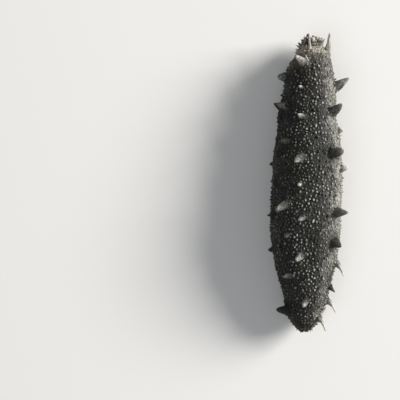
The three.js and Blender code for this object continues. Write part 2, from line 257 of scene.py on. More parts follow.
# ---------------------------------------------------------------------------
# The skin: one net from the bottom of the mouth to the anus
# ---------------------------------------------------------------------------
def meridian():
    """Distances from the rim and shares of the section, evenly spread along the skin."""
    m = np.array(MOUTH_PROFILE)
    t = np.arange(len(m))
    fine = np.linspace(0, len(m) - 1, 240)
    slope = np.gradient(m, axis=0)
    i = np.clip(fine.astype(int), 0, len(m) - 2)
    u = (fine - t[i])[:, None]
    mouth = ((1 + 2 * u) * (1 - u) ** 2 * m[i] + u * (1 - u) ** 2 * slope[i]
             + u * u * (3 - 2 * u) * m[i + 1] + u * u * (u - 1) * slope[i + 1])
    mouth[:, 1] = np.clip(mouth[:, 1], 0, 1)
    trunk = np.stack([np.linspace(MOUTH_PROFILE[-1][0], CAP_START, 600), np.ones(600)], -1)[1:]
    end = (1 - ANUS_SCALE ** CAP_POWER_ROUND) ** (1 / CAP_POWER_ALONG)
    u = end * np.sin(np.linspace(0, math.pi / 2, 160))[1:]
    cap = np.stack([CAP_START + u * (BODY_LENGTH - CAP_START), cap_share(CAP_START + u * (BODY_LENGTH - CAP_START))], -1)
    pit = np.array([[BODY_LENGTH - 0.18, 0.13], [BODY_LENGTH - 0.35, 0.075], [BODY_LENGTH - ANUS_DEPTH, 0.0]])
    path = np.concatenate([mouth, trunk, cap, pit])
    half, top, bottom = (station(path[:, 0], c) for c in (1, 2, 3))
    size = (half + (top - bottom) / 2) / 2
    step = np.hypot(np.diff(path[:, 0]), np.diff(path[:, 1]) * (size[1:] + size[:-1]) / 2)
    along = np.concatenate([[0], np.cumsum(step)])
    even = np.linspace(0, along[-1], ROWS + 1)
    return np.interp(even, along, path[:, 0]), np.interp(even, along, path[:, 1])


def even_angles():
    """Angles that step evenly round the section, from the middle of the sole."""
    a = np.linspace(-math.pi / 2, 1.5 * math.pi, 20001)
    p = surface(40.0, 1.0, a)
    along = np.concatenate([[0], np.cumsum(np.linalg.norm(np.diff(p, axis=0), axis=1))])
    return np.interp(np.arange(COLUMNS) / COLUMNS * along[-1], along, a)


def net_normals(p):
    along = np.gradient(p, axis=0)
    around = (np.roll(p, -1, 1) - np.roll(p, 1, 1)) / 2
    n = np.cross(around, along)
    n = unit(n)
    n[0] = unit(n[1].mean(0))
    n[-1] = unit(n[-2].mean(0))
    return n


row_d, row_share = meridian()
angles = even_angles()
outer = surface(row_d[:, None], row_share[:, None], angles[None, :])
normals = net_normals(outer)
mid = ROWS // 2
if np.einsum("ij,ij->i", normals[mid], outer[mid] - outer[mid].mean(0)).mean() < 0:
    normals = -normals
    FLIP = True
else:
    FLIP = False

inside_mouth = smooth(0.80, 0.60, row_share[:, None]) * (row_d[:, None] < 4)
inset = COAT_DEPTH * (1 - 0.6 * inside_mouth) * np.ones_like(angles)[None, :]
skin = outer - normals * inset[..., None]
skin[..., 2] = np.maximum(skin[..., 2], SOLE_DEPTH)


def foot_frame(d, angle):
    share = cap_share(d)
    p = surface(d, share, angle)
    e = 0.05
    along = surface(d + e, cap_share(d + e), angle) - surface(d - e, cap_share(d - e), angle)
    around = surface(d, share, angle + e / 5) - surface(d, share, angle - e / 5)
    n = unit(np.cross(around, along))
    middle = np.array([station(d, 4) + SHIFT_X, p[1], station(d, 3) + WIDEST_AT * (station(d, 2) - station(d, 3))])
    if np.dot(n, p - middle) < 0:
        n = -n
    return p - n * COAT_DEPTH, n


TIP = 0.07
papillae = []
for d, angle, length, root, lift, sweep, hook, pale, kind in PAPILLAE:
    foot, n = foot_frame(d, math.radians(angle))
    a, b = math.radians(lift), math.radians(sweep)
    direction = np.array([math.cos(b) * math.cos(a), -math.sin(b), math.cos(b) * math.sin(a)])
    papillae.append(dict(foot=foot, n=n, dir=direction, length=length + 0.2, root=root, hook=hook, pale=pale, kind=kind))


def climb(length, root, kind, reach):
    """The way from a papilla's tip down its side and out over the skin to where
    the net is left alone: distance from the axis and share of the length, at
    even steps."""
    keep, fall, swell, blunt = kind
    t = 1 - np.linspace(0, 1, 400) ** 1.7
    r = TIP + (root - TIP) * ((1 - keep) * (1 - t) ** fall + keep * (1 - t ** swell) ** blunt)
    r = np.concatenate([[0.0], r, np.linspace(root, reach, 60)[1:]])
    h = np.concatenate([[length], t * length, np.zeros(59)])
    def even_steps(r, h):
        along = np.concatenate([[0], np.cumsum(np.hypot(np.diff(r), np.diff(h)))])
        even = np.linspace(0, along[-1], 400)
        return np.interp(even, along, r), np.interp(even, along, h), along[-1]

    def rounded(r, h, total, span):
        half = max(2, int(span / (total / 400)))
        kernel = np.hanning(2 * half + 3)[1:-1]
        kernel /= kernel.sum()
        step = r[-1] - r[-2]
        rr = np.concatenate([-r[half:0:-1], r, r[-1] + step * np.arange(1, half + 1)])
        hh = np.concatenate([h[half:0:-1], h, np.zeros(half)])
        return np.convolve(rr, kernel, "valid"), np.convolve(hh, kernel, "valid")

    r, h, total = even_steps(r, h)
    r1, h1 = rounded(r, h, total, 0.12)
    r2, h2 = rounded(r, h, total, min(0.55, 0.42 * root))
    low = smooth(0.55, 0.12, h / length)
    r, h = r1 * (1 - low) + r2 * low, h1 * (1 - low) + h2 * low
    r[0] = 0.0
    r, h, total = even_steps(r, h)
    return r, h / length, total


# The net is drawn in over each papilla, so that its rings climb it evenly.
in_mouth = (row_share[:, None] < 0.86) & (row_d[:, None] < 3.5) & np.ones((1, COLUMNS), bool)
owner = np.full(skin.shape[:2], -1)
lifted = np.zeros(skin.shape[:2])
closest = np.full(skin.shape[:2], 9.0)
placed = skin.copy()
feet = np.array([q["foot"] for q in papillae])
roots = np.array([q["root"] for q in papillae])
for i, q in enumerate(papillae):
    apart = np.linalg.norm(feet - q["foot"], axis=1)
    apart[i] = 99
    reach = min(1.6 * q["root"] + 1.0, (apart * q["root"] / (q["root"] + roots)).min() * 0.98)
    q["root"] = min(q["root"], 0.86 * reach)
    r_of, t_of, total = climb(q["length"], q["root"], q["kind"], reach)
    v = skin - q["foot"]
    normal_part = v @ q["n"]
    flat = v - normal_part[..., None] * q["n"]
    rho = np.linalg.norm(flat, axis=-1)
    near = (rho < reach) & (np.abs(normal_part) < 0.35 + 0.4 * rho) & ~in_mouth & (rho / reach < closest)
    first = 1 + 0.35 * (total / reach - 1)
    bend = (total - first * reach) / reach ** 2
    s = np.clip(total - (first * (reach - rho[near]) + bend * (reach - rho[near]) ** 2), 0, total) / total * (len(r_of) - 1)
    k = np.minimum(s.astype(int), len(r_of) - 2)
    u = s - k
    r_new = r_of[k] * (1 - u) + r_of[k + 1] * u
    ratio = r_new / np.maximum(rho[near], 1e-9)
    placed[near] = q["foot"] + flat[near] * ratio[:, None] + (normal_part[near] * ratio ** 2)[:, None] * q["n"]
    lifted[near] = t_of[k] * (1 - u) + t_of[k + 1] * u
    owner[near] = i
    closest[near] = rho[near] / reach
skin = placed

normals = net_normals(skin)
if FLIP:
    normals = -normals
upness = normals[..., 2]
on_sole = smooth(-0.55, -0.9, upness) * smooth(2.2, 1.0, skin[..., 2])

# Shrunken, uneven flesh: broad hollows, cross folds on the flanks, fine grain.
broad = noise(skin / np.array([6.0, 8.5, 6.0]), 1) * 0.26 + noise(skin / np.array([3.2, 4.2, 3.2]), 2) * 0.13
fold_wave = noise(skin / np.array([4.2, 1.35, 4.2]), 3)
folds = (1 - np.abs(fold_wave) * 2.4)
fold_mask = 0.35 + 0.65 * smooth(-0.1, 0.5, noise(skin / 9.0, 4)) + 0.4 * smooth(0.4, -0.2, upness)
grain = noise(skin / 1.05, 5) * 0.055 + noise(skin / 0.6, 6) * 0.035
relief = broad + folds * 0.07 * fold_mask + grain
relief = np.minimum(relief - 0.05, 0.12)
calm = (1 - 0.75 * inside_mouth - 0.55 * on_sole) * (1 - 0.75 * smooth(0.02, 0.4, lifted))
relief = relief * calm
relief[0] = relief[0].mean()
relief[-1] = relief[-1].mean()
skin = skin + normals * relief[..., None]

# A closed slit along the sole, where the animal was opened, and its lips.
slit_x = station(row_d, 4)[:, None] + SHIFT_X + 0.9 + 0.35 * noise(np.stack([row_d / 7.0, row_d * 0, row_d * 0], -1), 8)[:, None]
slit_on = smooth(30, 35, row_d)[:, None] * smooth(70, 64, row_d)[:, None] * on_sole
across_slit = np.abs(skin[..., 0] - slit_x)
slit = slit_on * (np.exp(-(across_slit / 0.22) ** 2) * 0.55 - np.exp(-((across_slit - 0.55) / 0.3) ** 2) * 0.10)
skin[..., 2] += slit

base_skin = skin.copy()
body_x = normals[..., 0].copy()
# dry powder lies on the right side and the head; on the right side, which faces the lamp, its paleness is partly
# painted light, and the shaded left side is painted darker
head_powder = smooth(11, 2.5, row_d)[:, None] * smooth(-0.45, 0.15, body_x + 0.12 * noise(skin / 3.0, 13))
powder_and_painted_light = 0.90 * smooth(0.25, 0.84, body_x + 0.13 * noise(skin / 3.5, 12) + 0.26 * noise(skin / 1.1, 15) + 0.08 * smooth(20, 8, row_d)[:, None] + 0.16 * smooth(48, 62, row_d)[:, None])
powder_and_painted_light = np.maximum(powder_and_painted_light * (1 - 0.30 * smooth(50, 62, row_d) - 0.35 * smooth(14, 5, row_d))[:, None], 0.30 * head_powder)
# and thins out under the flanks, and the painted light with it
powder_and_painted_light = powder_and_painted_light * (0.35 + 0.65 * smooth(-0.70, 0.10, normals[..., 2] + 0.15 * noise(skin / 2.2, 16)))
# painted shade: the left side, turned away from the lamp, is made darker
painted_shade_left = smooth(0.05, -0.65, body_x)
# its last term is painted shade on the band between the back and the lamp-lit right side, which sharpens the edge of
# the light
dust_and_painted_shading = 0.04 + 0.07 * noise(skin / 2.4, 9) + 0.08 * (relief - relief.mean()) / 0.15 + 0.57 * powder_and_painted_light - 0.08 * painted_shade_left - 0.05 * smooth(0.05, 0.4, body_x) * (1 - powder_and_painted_light)
mouth_zone = smooth(6.5, 3.2, row_d)[:, None] * np.ones_like(dust_and_painted_shading)
head_zone = smooth(10, 4, row_d)[:, None] * smooth(-0.75, -0.2, body_x)
dust_and_painted_shading = np.maximum(dust_and_painted_shading, 0.50 * mouth_zone + 0.10 * noise(skin / 0.9, 14)) + 0.17 * head_zone
warm = np.clip(0.75 * np.exp(-np.maximum(row_d, 0) / 4.5), 0, 1)[:, None] + 0.25 * smooth(70, 77, row_d)[:, None] + np.zeros_like(dust_and_painted_shading)
warm = np.maximum(warm, 0.75 * smooth(0.1, -0.4, body_x) * smooth(11.5, 7, row_d)[:, None])
dust_and_painted_shading = dust_and_painted_shading + (0.10 * smooth(11.5, 7, row_d) + 0.16 * smooth(8, 5, row_d))[:, None] * smooth(0.1, -0.4, body_x)
warm = np.maximum(warm, inside_mouth)
dust_and_painted_shading = dust_and_painted_shading * (1 - 0.35 * inside_mouth)
# painted shade: the flesh round the foot of each large dark papilla is made darker
papilla_foot_shade = np.zeros_like(dust_and_painted_shading)
for q in papillae:
    if q["pale"][1] < 0.36 and q["root"] > 1.1:
        papilla_foot_shade = np.maximum(papilla_foot_shade, np.exp(-(np.linalg.norm(skin - q["foot"], axis=-1) / (1.9 * q["root"])) ** 2))
dust_and_painted_shading = dust_and_painted_shading * (1 - 0.8 * papilla_foot_shade)
powder_and_painted_light = powder_and_painted_light * (1 - 0.75 * papilla_foot_shade)
rise = np.zeros_like(dust_and_painted_shading)

for i, q in enumerate(papillae):
    near = (owner == i) & (lifted > 1e-4)
    if not near.any():
        continue
    t = lifted[near]
    v = base_skin[near] - q["foot"]
    npart = v @ q["n"]
    fl = v - npart[:, None] * q["n"]
    npart = npart * (1 - smooth(0.1, 0.6, t))
    side = unit(np.cross(q["n"], [0.1, 1.0, 0.2]))
    other = np.cross(q["n"], side)
    turn = np.arctan2(fl @ other, fl @ side)
    ribs = 1 + (0.07 * np.sin(3 * turn + 1.7 * i) + 0.05 * np.sin(5 * turn + 2.9 * i + 3 * t)) * smooth(0.02, 0.2, t)
    fl = fl * ribs[:, None]
    # the disc of a slice turns from the skin's plane to square with the axis
    axis = np.cross(q["n"], q["dir"])
    s, c = np.linalg.norm(axis), float(np.dot(q["n"], q["dir"]))
    if s > 1e-6:
        axis = axis / s
        w = math.atan2(s, c) * smooth(0.0, 0.42, t)
        cw, sw = np.cos(w)[:, None], np.sin(w)[:, None]
        fl = fl * cw + np.cross(axis, fl) * sw + axis * (fl @ axis)[:, None] * (1 - cw)
    wander = 0.05 * q["length"] * math.sin(4.1 * i + 0.7) * t ** 2
    p = q["foot"] + npart[:, None] * q["n"] + fl + q["dir"] * (q["length"] * t)[:, None]
    p[:, 1] -= q["hook"] * q["length"] * t ** 2
    p[:, 0] -= HOOK_INWARD * np.sign(q["dir"][0]) * q["hook"] * q["length"] * t ** 2
    p += unit(np.cross(q["dir"], [0.0, 1.0, 0.0])) * wander[:, None]
    skin[near] = p
    strength = smooth(0.02, 0.25, t)
    foot_tone, tip_tone = q["pale"]
    tone = (foot_tone + (tip_tone - foot_tone) * smooth(0.08, 0.75, t)) * (1 + 0.42 * noise(p / 0.7, 41))
    dust_and_painted_shading[near] = dust_and_painted_shading[near] * (1 - strength) + tone * strength
    warm[near] = warm[near] * (1 - strength * (q["dir"][0] < 0)) + 0.5 * (q["dir"][0] > 0) * (1 - tip_tone) * smooth(0.2, 1.0, t)
    rise[near] = t

rough_normals = net_normals(skin)
if FLIP:
    rough_normals = -rough_normals
on_side = smooth(0.04, 0.25, rise) * (1 - 0.5 * smooth(0.75, 1.0, rise))
ragged = 1 + 1.3 * smooth(0.45, 0.75, dust_and_painted_shading) * smooth(10, 14, row_d)[:, None]
skin = skin + rough_normals * (on_side * ragged * (0.045 * noise(skin / 0.55, 43) + 0.05 * noise(skin / 1.3, 44)))[..., None]
skin[..., 2] = np.maximum(skin[..., 2], 0.12)
dust_and_painted_shading = np.clip(dust_and_painted_shading, 0, 1)
warm = np.clip(warm, 0, 1)
skin_normals = net_normals(skin)
if FLIP:
    skin_normals = -skin_normals


# ---------------------------------------------------------------------------
# Meshes
# ---------------------------------------------------------------------------
def build_mesh(name, points, corners, sizes, uv, values):
    mesh = bpy.data.meshes.new(name)
    mesh.vertices.add(len(points))
    mesh.vertices.foreach_set("co", (np.asarray(points) * MM).astype(np.float32).ravel())
    mesh.loops.add(len(corners))
    mesh.loops.foreach_set("vertex_index", np.asarray(corners, np.int32))
    mesh.polygons.add(len(sizes))
    starts = np.concatenate([[0], np.cumsum(sizes)[:-1]]).astype(np.int32)
    mesh.polygons.foreach_set("loop_start", starts)
    mesh.update(calc_edges=True)
    mesh.polygons.foreach_set("use_smooth", np.ones(len(sizes), bool))
    layer = mesh.uv_layers.new(name="OFBake")
    layer.data.foreach_set("uv", np.asarray(uv, np.float32).ravel())
    for key, value in values.items():
        attribute = mesh.attributes.new(key, "FLOAT", "POINT")
        attribute.data.foreach_set("value", np.asarray(value, np.float32))
    mesh.update()
    thing = bpy.data.objects.new(name, mesh)
    bpy.context.scene.collection.objects.link(thing)
    return thing


def skin_object():
    rows, columns = ROWS + 1, COLUMNS
    inner = np.arange(1, rows - 1)
    points = np.concatenate([skin[0].mean(0)[None], skin[1:-1].reshape(-1, 3), skin[-1].mean(0)[None]])
    flat = lambda a: np.concatenate([[a[0].mean()], a[1:-1].ravel(), [a[-1].mean()]])
    number = lambda r, c: 1 + (r - 1) * columns + (c % columns)
    r, c = np.meshgrid(np.arange(1, rows - 2), np.arange(columns), indexing="ij")
    r, c = r.ravel(), c.ravel()
    quads = np.stack([number(r, c), number(r + 1, c), number(r + 1, c + 1), number(r, c + 1)], -1)
    u = lambda row: 0.01 + 0.98 * row / ROWS
    v = lambda column: 0.01 + 0.98 * column / columns
    quad_uv = np.stack([
        np.stack([u(r), v(c)], -1), np.stack([u(r + 1), v(c)], -1),
        np.stack([u(r + 1), v(c + 1)], -1), np.stack([u(r), v(c + 1)], -1)], 1)
    c = np.arange(columns)
    last = len(points) - 1
    first = np.stack([np.zeros_like(c), number(1, c), number(1, c + 1)], -1)
    first_uv = np.stack([np.stack([np.full(columns, u(0)), v(c + 0.5)], -1), np.stack([np.full(columns, u(1)), v(c)], -1),
                         np.stack([np.full(columns, u(1)), v(c + 1)], -1)], 1)
    end = np.stack([np.full(columns, last), number(rows - 2, c + 1), number(rows - 2, c)], -1)
    end_uv = np.stack([np.stack([np.full(columns, u(ROWS)), v(c + 0.5)], -1), np.stack([np.full(columns, u(ROWS - 1)), v(c + 1)], -1),
                       np.stack([np.full(columns, u(ROWS - 1)), v(c)], -1)], 1)
    if not FLIP:
        pass
    else:
        quads, quad_uv = quads[:, ::-1], quad_uv[:, ::-1]
        first, first_uv = first[:, ::-1], first_uv[:, ::-1]
        end, end_uv = end[:, ::-1], end_uv[:, ::-1]
    corners = np.concatenate([quads.ravel(), first.ravel(), end.ravel()])
    uv = np.concatenate([quad_uv.reshape(-1, 2), first_uv.reshape(-1, 2), end_uv.reshape(-1, 2)])
    sizes = np.concatenate([np.full(len(quads), 4), np.full(2 * columns, 3)])
    return build_mesh("skin_whole", points, corners, sizes, uv, {"dust_and_painted_shading": flat(dust_and_painted_shading), "warm": flat(warm)})


def bud(sides, rings):
    """A closed bud: rings of (height, radius), an apex, and a foot that closes it."""
    turn = np.arange(sides) / sides * 2 * math.pi
    points, level, weight = [], [], []
    for k, (height, radius) in enumerate(rings):
        for a in turn + (k % 2) * math.pi / sides:
            points.append((radius * math.cos(a), radius * math.sin(a), height))
            level.append(k)
    points.append((0.0, 0.0, 1.0))
    level.append(len(rings))
    apex = len(points) - 1
    corners, sizes, uv = [], [], []
    total = len(rings)
    spread = [1.0 - 0.95 * k / total for k in range(total)]

    def place(k, index):
        a = turn[index % sides] + (k % 2) * math.pi / sides
        return (spread[k] * math.cos(a), spread[k] * math.sin(a))

    for k in range(total - 1):
        for j in range(sides):
            nxt = (j + 1) % sides
            if k % 2 == 0:
                faces = [((k, j), (k, nxt), (k + 1, j)), ((k, nxt), (k + 1, nxt), (k + 1, j))]
            else:
                faces = [((k, j), (k, nxt), (k + 1, nxt)), ((k, j), (k + 1, nxt), (k + 1, j))]
            for face in faces:
                for kk, jj in face:
                    corners.append(kk * sides + jj)
                    uv.append(place(kk, jj))
                sizes.append(3)
    k = total - 1
    for j in range(sides):
        corners += [k * sides + j, k * sides + (j + 1) % sides, apex]
        uv += [place(k, j), place(k, j + 1), (0.0, 0.0)]
        sizes.append(3)
    for j in reversed(range(sides)):
        corners.append(j)
        x, y = place(0, j)
        uv.append((1.75 + 0.25 * x, 0.25 * y))
    sizes.append(sides)
    return dict(points=np.array(points), level=np.array(level), corners=np.array(corners), sizes=np.array(sizes),
                uv=np.array(uv), rings=total, tris=int((np.array(sizes) - 2).sum()))


def scatter_mesh(name, shape, where, up, size, height, pale, warmth, at, seed, stretch=None, lean=None, patch=0.0013, jitter=0.14, tip_tone=None, ground=None):
    """One joined mesh of buds: where they stand, which way is up, radius and
    height of each, tone, and the place of each root on the skin's unwrap."""
    r = np.random.RandomState(seed)
    count, v = len(where), len(shape["points"])
    side = unit(np.cross(up, unit(r.normal(size=(count, 3)))))
    if stretch is not None:
        side = unit(np.array([0.0, 1.0, 0.0]) - up * up[:, 1:2] + 0.25 * r.normal(size=(count, 3)))
        side = unit(side - up * np.einsum("ij,ij->i", side, up)[:, None])
    other = np.cross(up, side)
    px = shape["points"][None, :, 0] * (1 + jitter * r.normal(size=(count, v)))
    py = shape["points"][None, :, 1] * (1 + jitter * r.normal(size=(count, v)))
    pz = np.broadcast_to(shape["points"][None, :, 2], (count, v))
    sx = size * (stretch if stretch is not None else 1.0)
    body = (px * sx[:, None])[..., None] * side[:, None, :] + (py * size[:, None])[..., None] * other[:, None, :]
    body = body + (pz * height[:, None])[..., None] * up[:, None, :]
    if lean is not None:
        body = body + (np.maximum(pz, 0) ** 1.5 * height[:, None])[..., None] * lean[:, None, :]
    points = (where[:, None, :] + body).reshape(-1, 3)
    points[:, 2] = np.maximum(points[:, 2], 0.0)
    offset = (np.arange(count) * v)[:, None]
    corners = (shape["corners"][None, :] + offset).ravel()
    sizes = np.tile(shape["sizes"], count)
    uv = (at[:, None, :] + shape["uv"][None, :, :] * patch).reshape(-1, 2)
    share = shape["level"] / shape["rings"]
    ramp = np.interp(share, np.linspace(0, 1, len(tip_tone)), tip_tone) if tip_tone is not None else 0.34 + 0.66 * share
    tone = pale[:, None] * ramp[None, :]
    if ground is not None:
        tone = np.maximum(tone, ground[:, None])
    tone = tone.ravel()
    heat = np.repeat(warmth, v)
    return build_mesh(name, points, corners, sizes, uv, {"dust_and_painted_shading": np.clip(tone, 0, 1), "warm": np.clip(heat, 0, 1)})


def on_net(r, c, field):
    """Bilinear reading of a field of the net at fractional rows and columns."""
    r0 = np.clip(np.floor(r).astype(int), 0, ROWS - 1)
    c0 = np.floor(c).astype(int)
    u, w = r - r0, c - c0
    if field.ndim == 3:
        u, w = u[:, None], w[:, None]
    a, b = field[r0, c0 % COLUMNS], field[r0, (c0 + 1) % COLUMNS]
    e, f = field[r0 + 1, c0 % COLUMNS], field[r0 + 1, (c0 + 1) % COLUMNS]
    return (a * (1 - w) + b * w) * (1 - u) + (e * (1 - w) + f * w) * u


# ---------------------------------------------------------------------------
# Where the warts stand: darts thrown on the skin, each kept if none is near
# ---------------------------------------------------------------------------
class Throw:
    def __init__(self, cell):
        self.cell, self.boxes = cell, {}

    def free(self, p, room):
        k = (p / self.cell).astype(int)
        for i in (-1, 0, 1):
            for j in (-1, 0, 1):
                for l in (-1, 0, 1):
                    for x, y, z, other in self.boxes.get((k[0] + i, k[1] + j, k[2] + l), ()):
                        if (x - p[0]) ** 2 + (y - p[1]) ** 2 + (z - p[2]) ** 2 < (room + other) ** 2:
                            return False
        return True

    def add(self, p, room):
        k = (p / self.cell).astype(int)
        self.boxes.setdefault((k[0], k[1], k[2]), []).append((p[0], p[1], p[2], room))


def throw(count, weight, room_field, board, seed):
    """Places on the net (row, column) where a wart has the room it needs."""
    r = np.random.RandomState(seed)
    a = np.linalg.norm(skin[1:, :] - skin[:-1, :], axis=-1)
    b = np.linalg.norm(np.roll(skin, -1, 1) - skin, axis=-1)
    area = a * (b[:-1] + b[1:]) / 2 * (weight[:-1] + weight[1:]) / 2
    chance = np.cumsum(area.ravel())
    pick = np.searchsorted(chance, r.uniform(0, chance[-1], count))
    rows = pick // COLUMNS + r.uniform(0, 1, count)
    cols = pick % COLUMNS + r.uniform(0, 1, count)
    where = on_net(rows, cols, skin)
    room = on_net(rows, cols, room_field) * r.uniform(0.82, 1.22, count)
    kept = []
    for n in range(count):
        if board.free(where[n], room[n]):
            board.add(where[n], room[n])
            kept.append(n)
    kept = np.array(kept)
    return rows[kept], cols[kept], room[kept]


side_view = np.ones_like(dust_and_painted_shading)
row_grid = np.broadcast_to(row_d[:, None], dust_and_painted_shading.shape)
share_grid = np.broadcast_to(row_share[:, None], dust_and_painted_shading.shape)
outside = smooth(0.70, 0.84, share_grid) * (row_grid < 4) + (row_grid >= 4)
sole_now = smooth(-0.5, -0.85, skin_normals[..., 2]) * (rise < 0.05) * smooth(2.0, 1.0, skin[..., 2])
on_papilla = smooth(0.10, 0.45, rise)
patchy = noise(skin / 5.0, 21)
thin_ends = smooth(0, 7, row_grid) * smooth(BODY_LENGTH, 71.5, row_grid)

board = Throw(0.9)
room_big = 0.355 * (1 - 0.12 * patchy) * (0.72 + 0.28 * thin_ends)
weight_big = outside * (1 - sole_now) * (1 - smooth(0.02, 0.20, rise))
big = throw(26000, weight_big, room_big, board, 101)
room_small = 0.125 * (1 + 0.25 * patchy) * (0.85 + 0.15 * thin_ends)
weight_small = outside * (1 - 0.85 * sole_now) * (1 - 0.88 * on_papilla)
small = throw(52000, weight_small, room_small, board, 102)
weight_grit = outside * (1 - 0.9 * sole_now) * (1 - 0.80 * on_papilla)
grit = throw(52000, weight_grit, np.full(dust_and_painted_shading.shape, 0.062), board, 103)
print("warts", len(big[0]), len(small[0]), len(grit[0]))


def unwrap_place(rows, cols, low, high):
    u = 0.02 + 0.95 * rows / ROWS
    v = 0.02 + 0.95 * (cols - low) / (high - low)
    return np.stack([u, v], -1)


# Sectors round the body, as columns of the net. The sole's middle is column 0.
SECTORS = [
    ("warts_sole_right", 0, 34), ("warts_flank_right", 34, 62), ("warts_back_right", 62, 104),
    ("warts_back_left", 104, 146), ("warts_flank_left", 146, 174), ("warts_sole_left", 174, 208),
]
BIG_BUD = bud(7, [(-0.45, 0.90), (0.12, 1.0), (0.55, 0.78), (0.86, 0.42)])
SMALL_BUD = bud(5, [(-0.5, 0.9), (0.2, 1.0), (0.74, 0.6)])
GRAIN = bud(4, [(-0.6, 0.85), (0.30, 1.0)])


def wart_arrays(found, seed, share_of_room, tall):
    rows, cols, room = found
    r = np.random.RandomState(seed)
    n = len(rows)
    where = on_net(rows, cols, skin)
    up = unit(on_net(rows, cols, skin_normals))
    lifted = on_net(rows, cols, rise)
    at_sole = on_net(rows, cols, sole_now)
    size = room * share_of_room * np.clip(1 + 0.16 * r.normal(size=n), 0.6, 1.5) * (1 - 0.28 * smooth(0.05, 0.5, lifted))
    height = size * tall * np.clip(1 + 0.22 * r.normal(size=n) + 0.7 * (r.uniform(0, 1, n) > 0.93), 0.5, 2.2) * (1 - 0.55 * at_sole)
    tone = on_net(rows, cols, dust_and_painted_shading)
    heat = on_net(rows, cols, warm)
    return rows, cols, where, up, size, height, tone, heat, lifted, r


def tones(where, r, n):
    """How pale each wart's tip is: most are grey, and some are nearly white."""
    drift = noise(where / 3.2, 31) * 0.24 + noise(where / 9.0, 32) * 0.16
    bright = r.uniform(0, 1, n) ** 1.6
    return np.clip(0.31 + 0.50 * bright + drift, 0.05, 0.92)


pieces = []


def coat(found, seed, shape, share_of_room, tall, stretch, glow):
    rows, cols, where, up, size, height, tone, heat, lifted, r = wart_arrays(found, seed, share_of_room, tall)
    n = len(rows)
    pale = tones(where, r, n)
    # painted shade darkens the warts on the left side
    pale = pale * (1 - 0.34 * on_net(rows, cols, painted_shade_left)) * (1 - 0.25 * on_net(rows, cols, head_zone))
    # painted shade at the feet of the large dark papillae darkens the warts there
    pale = pale * (1 - 0.45 * on_net(rows, cols, papilla_foot_shade)) * glow
    turned = on_net(rows, cols, body_x)
    # on the warts too, the right side's powder is partly painted light
    fine_powder_and_painted_light = np.clip(on_net(rows, cols, powder_and_painted_light) + 0.20 * r.normal(size=n) * smooth(0.25, 0.55, turned), 0, 1)
    # painted shade on the warts of the band between the back and the lamp-lit right side
    pale = pale * (1 - (0.50 if glow < 1 else 0.10) * smooth(0.10, 0.40, turned) * (1 - fine_powder_and_painted_light) * smooth(8, 20, on_net(rows, cols, row_grid)))
    pale = pale * (1 - 0.25 * fine_powder_and_painted_light) + 0.34 * fine_powder_and_painted_light + 0.20 * on_net(rows, cols, mouth_zone)
    pale = pale * (1 - smooth(0.05, 0.3, lifted)) + tone * (0.55 + 0.75 * pale) * smooth(0.05, 0.3, lifted)
    longer = 1 + stretch * np.abs(r.normal(size=n))
    lean = 0.25 * r.normal(size=(n, 3))
    height = height * (1 - 0.25 * fine_powder_and_painted_light)
    result = {}
    for name, low, high in SECTORS:
        m = (cols >= low) & (cols < high)
        result[name] = dict(shape=shape, where=where[m], up=up[m], size=size[m], height=height[m], pale=pale[m], warmth=heat[m],
                            at=unwrap_place(rows[m], cols[m], low, high), stretch=longer[m], lean=lean[m], ground=tone[m])
    return result


big_parts = coat(big, 201, BIG_BUD, 0.74, 1.10, 0.40, 1.0)
small_parts = coat(small, 202, SMALL_BUD, 0.80, 1.05, 0.15, 0.60)
grit_parts = coat(grit, 203, GRAIN, 0.95, 0.95, 0.10, 0.50)


def sugar(part, each, seed):
    """Grains that crust the larger warts, on the sides and tops of their domes."""
    r = np.random.RandomState(seed)
    n = len(part["where"])
    pick = np.repeat(np.arange(n), each)
    around = unit(np.cross(part["up"][pick], unit(r.normal(size=(len(pick), 3)))))
    rise_angle = np.radians(r.uniform(12, 88, len(pick)))
    up = part["up"][pick]
    size, height = part["size"][pick], part["height"][pick]
    where = (part["where"][pick] + around * (np.cos(rise_angle) * size * 0.93)[:, None]
             + up * (np.sin(rise_angle) * height * 0.95)[:, None]
             + part["lean"][pick] * (np.sin(rise_angle) ** 1.5 * height)[:, None])
    outward = unit(around * np.cos(rise_angle)[:, None] + up * np.sin(rise_angle)[:, None])
    grain = 0.062 * np.clip(1 + 0.28 * r.normal(size=len(pick)), 0.5, 1.7)
    spread = np.concatenate([r.uniform(-1, 1, (len(pick), 1)) * 0.0020, r.uniform(-1, 1, (len(pick), 1)) * 0.0045], 1)
    return dict(shape=GRAIN, where=where, up=outward, size=grain, height=grain * 0.95,
                pale=np.clip(part["pale"][pick] * r.uniform(0.7, 1.5, len(pick)) + 0.05, 0, 1), warmth=part["warmth"][pick],
                at=part["at"][pick] + spread, stretch=1 + 0.2 * np.abs(r.normal(size=len(pick))), lean=np.zeros((len(pick), 3)))


crust_parts = {name: sugar(part, 5, 210 + k) for k, (name, part) in enumerate(sorted(big_parts.items()))}
for k, (name, low, high) in enumerate(SECTORS):
    for label, parts, seed in (("large", big_parts, 300), ("small", small_parts, 400), ("grit", grit_parts, 450), ("crust", crust_parts, 470)):
        part = parts[name]
        if len(part["where"]) == 0:
            continue
        thing = scatter_mesh(name + "_" + label, part["shape"], part["where"], part["up"], part["size"], part["height"],
                             part["pale"], part["warmth"], part["at"], seed + k, part["stretch"], part["lean"],
                             tip_tone=(0.14, 0.28, 0.64, 0.98, 1.08) if label == "large" else None, ground=part.get("ground"))
        pieces.append(thing)

# ---------------------------------------------------------------------------
# Spikelets and shrunken feelers round the mouth, lobes at the anus, tube feet
# ---------------------------------------------------------------------------
wrapped = np.concatenate([angles, [angles[0] + 2 * math.pi]])


def column_of(angle):
    a = np.mod(np.asarray(angle, float) - angles[0], 2 * math.pi) + angles[0]
    return np.interp(a, wrapped, np.arange(COLUMNS + 1))


